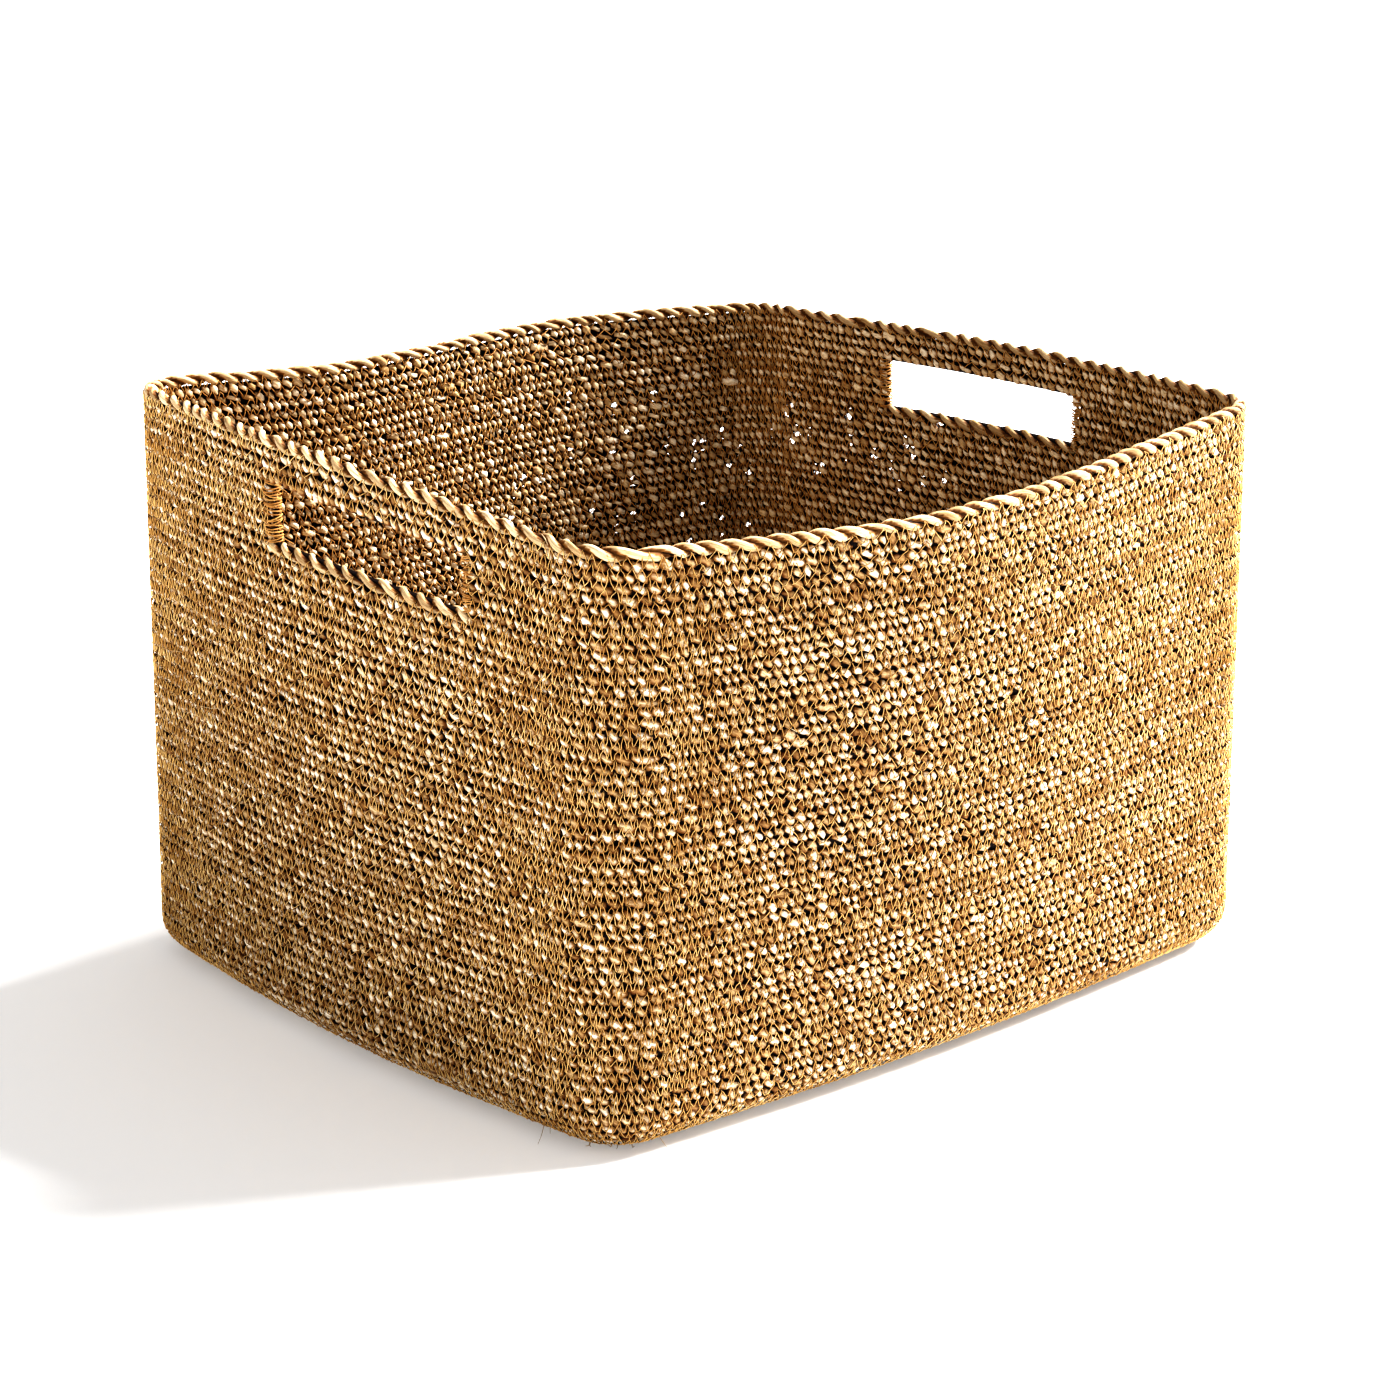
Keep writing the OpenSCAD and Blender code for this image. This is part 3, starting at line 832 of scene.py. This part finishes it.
def wall_pieces():
    for band in range(1, WALL_BANDS + 1):
        first = EDGE_COURSES + (band - 1) * BAND_COURSES
        rope_piece(f"wall_band_{band:02d}", range(first, first + BAND_COURSES))
    rope_piece("sill_courses", range(SILL_COURSE - 1, SILL_COURSE + 1))
    rope_piece("slot_courses", SLOT_RANGE, replaces=["slot_courses_front", "slot_courses_back"], step=1.1)
    rope_piece("grip_courses", range(SLOT_RANGE[-1] + 1, TOP_COURSE))
    rim = Build()
    rope(rim, TOP_COURSE, pale=0.1, girth=1.2, lay=25, **CALM_ROPE)
    heart(rim, TOP_COURSE, width=0.8, height=1.4)
    rim.piece("rim_rope", (RIM_GRASS, HEART_SHADE), ["rim_rope"])


def stray_piece():
    """Loose fibres: at the foot of the front left corner, up the front right one, and on every wall."""
    rng = np.random.default_rng(11)
    build = Build()
    near_corner, right_corner = CORNERS[3], CORNERS[0]
    for _ in range(12):
        stray(build, rng, rng.uniform(0, 3), near_corner + rng.normal(0, 0.012), rng.uniform(6, 16),
              rng.normal(0, 1, 3) * (1, 0.4, 0.4) + (0, 0.6, -0.2))
    for _ in range(26):
        stray(build, rng, rng.uniform(4, TOP_COURSE), right_corner + rng.normal(0, 0.012),
              rng.uniform(3, 9), rng.normal(0, 1, 3) + (0, 0.5, 0))
    for _ in range(120):
        stray(build, rng, rng.uniform(2, TOP_COURSE), rng.uniform(0, 1), rng.uniform(3, 8),
              rng.normal(0, 1, 3) * (1.5, 0.5, 1) + (0, 0.5, 0))
    build.piece("stray_fibres", (RIM_GRASS,), [])


def thread_pieces():
    for inside, word in ((0, "needle"), (1, "bobbin")):
        for band in range(1, WALL_BANDS + 1, 2):
            first = EDGE_COURSES + (band - 1) * BAND_COURSES
            thread_piece(f"{word}_thread_{band:02d}_{band + 1:02d}",
                         range(first, first + 2 * BAND_COURSES), inside)
        thread_piece(f"{word}_thread_top", range(SILL_COURSE - 1, TOP_COURSE), inside)
        thread_piece(f"{word}_thread_edge", range(-1, EDGE_COURSES), inside, replaces=())
    thread_piece("base_needle_thread", range(-BASE_TURNS + 1, -1), 0)
    thread_piece("base_bobbin_thread", range(-BASE_TURNS + 1, -1), 1, replaces=())
    for side, word in ((-1, "left"), (1, "right")):
        for end, way in ((0, 1), (1, -1)):
            build = Build()
            overcast(build, side, SLOT_Y[side][end], way)
            name = f"binding_{word}_{('front', 'back')[end]}"
            build.piece(name, (NEEDLE,), [name])


# ---------------------------------------------------------------- studio

CAMERA_AZIMUTH, CAMERA_ELEVATION = math.radians(-41.6), math.radians(16.66)
CAMERA_DISTANCE = 1.832
CAMERA_ANGLE = math.radians(23.0)
TARGET_HEIGHT = 0.150
FLOOR_REACH = 30.0

# The suns: (name, direction it comes from, strength, width in degrees, colour)
WARM, WHITE = (1.0, 0.90, 0.78), (1.0, 1.0, 1.0)
SUNS = (("key", (0.73, -0.17, 0.67), 17.5, 26, WHITE),
        ("front", (0.05, -0.99, 0.10), 0.25, 40, WHITE),
        ("left", (-0.92, -0.38, 0.10), 1.0, 40, WARM))


def aim(obj, target):
    direction = Vector(target) - obj.location
    obj.rotation_euler = direction.to_track_quat("-Z", "Y").to_euler()


def make_camera():
    target = Vector((MIDDLE[0] * MM, MIDDLE[1] * MM, TARGET_HEIGHT))
    data = bpy.data.cameras.new("camera")
    data.sensor_width = 36
    data.angle = CAMERA_ANGLE
    data.shift_x = -0.0012
    data.shift_y = -0.0115
    data.clip_start, data.clip_end = 0.05, 50
    camera = bpy.data.objects.new("camera", data)
    bpy.context.collection.objects.link(camera)
    away = Vector((math.sin(CAMERA_AZIMUTH) * math.cos(CAMERA_ELEVATION),
                   -math.cos(CAMERA_AZIMUTH) * math.cos(CAMERA_ELEVATION),
                   math.sin(CAMERA_ELEVATION)))
    camera.location = target + CAMERA_DISTANCE * away
    aim(camera, target)
    bpy.context.scene.camera = camera


def make_floor():
    floor_mesh = bpy.data.meshes.new("floor")
    corners = [(x * FLOOR_REACH, y * FLOOR_REACH, 0) for x, y in ((-1, -1), (1, -1), (1, 1), (-1, 1))]
    floor_mesh.from_pydata(corners, [], [(0, 1, 2, 3)])
    floor = bpy.data.objects.new("floor", floor_mesh)
    bpy.context.collection.objects.link(floor)
    material, _, _, shader = new_material("studio_floor")
    shader.inputs["Base Color"].default_value = (0.76, 0.76, 0.76, 1)
    shader.inputs["Roughness"].default_value = 0.9
    shader.inputs["Emission Color"].default_value = (1, 1, 1, 1)
    shader.inputs["Emission Strength"].default_value = 0.20
    floor_mesh.materials.append(material)


def make_lights():
    for name, direction, energy, spread, colour in SUNS:
        light = bpy.data.lights.new(name, "SUN")
        light.energy = energy
        light.color = colour
        light.angle = math.radians(spread)
        lamp = bpy.data.objects.new(name, light)
        bpy.context.collection.objects.link(lamp)
        lamp.location = direction
        aim(lamp, (0, 0, 0))
    world = bpy.data.worlds.new("studio")
    world.use_nodes = True
    world.node_tree.nodes["Background"].inputs["Color"].default_value = (1, 1, 1, 1)
    world.node_tree.nodes["Background"].inputs["Strength"].default_value = 0.50
    bpy.context.scene.world = world
    bpy.context.scene.view_settings.view_transform = "Standard"
    bpy.context.scene.view_settings.look = "High Contrast"


make_camera()
base_pieces()
wall_pieces()
thread_pieces()
stray_piece()
make_floor()
make_lights()
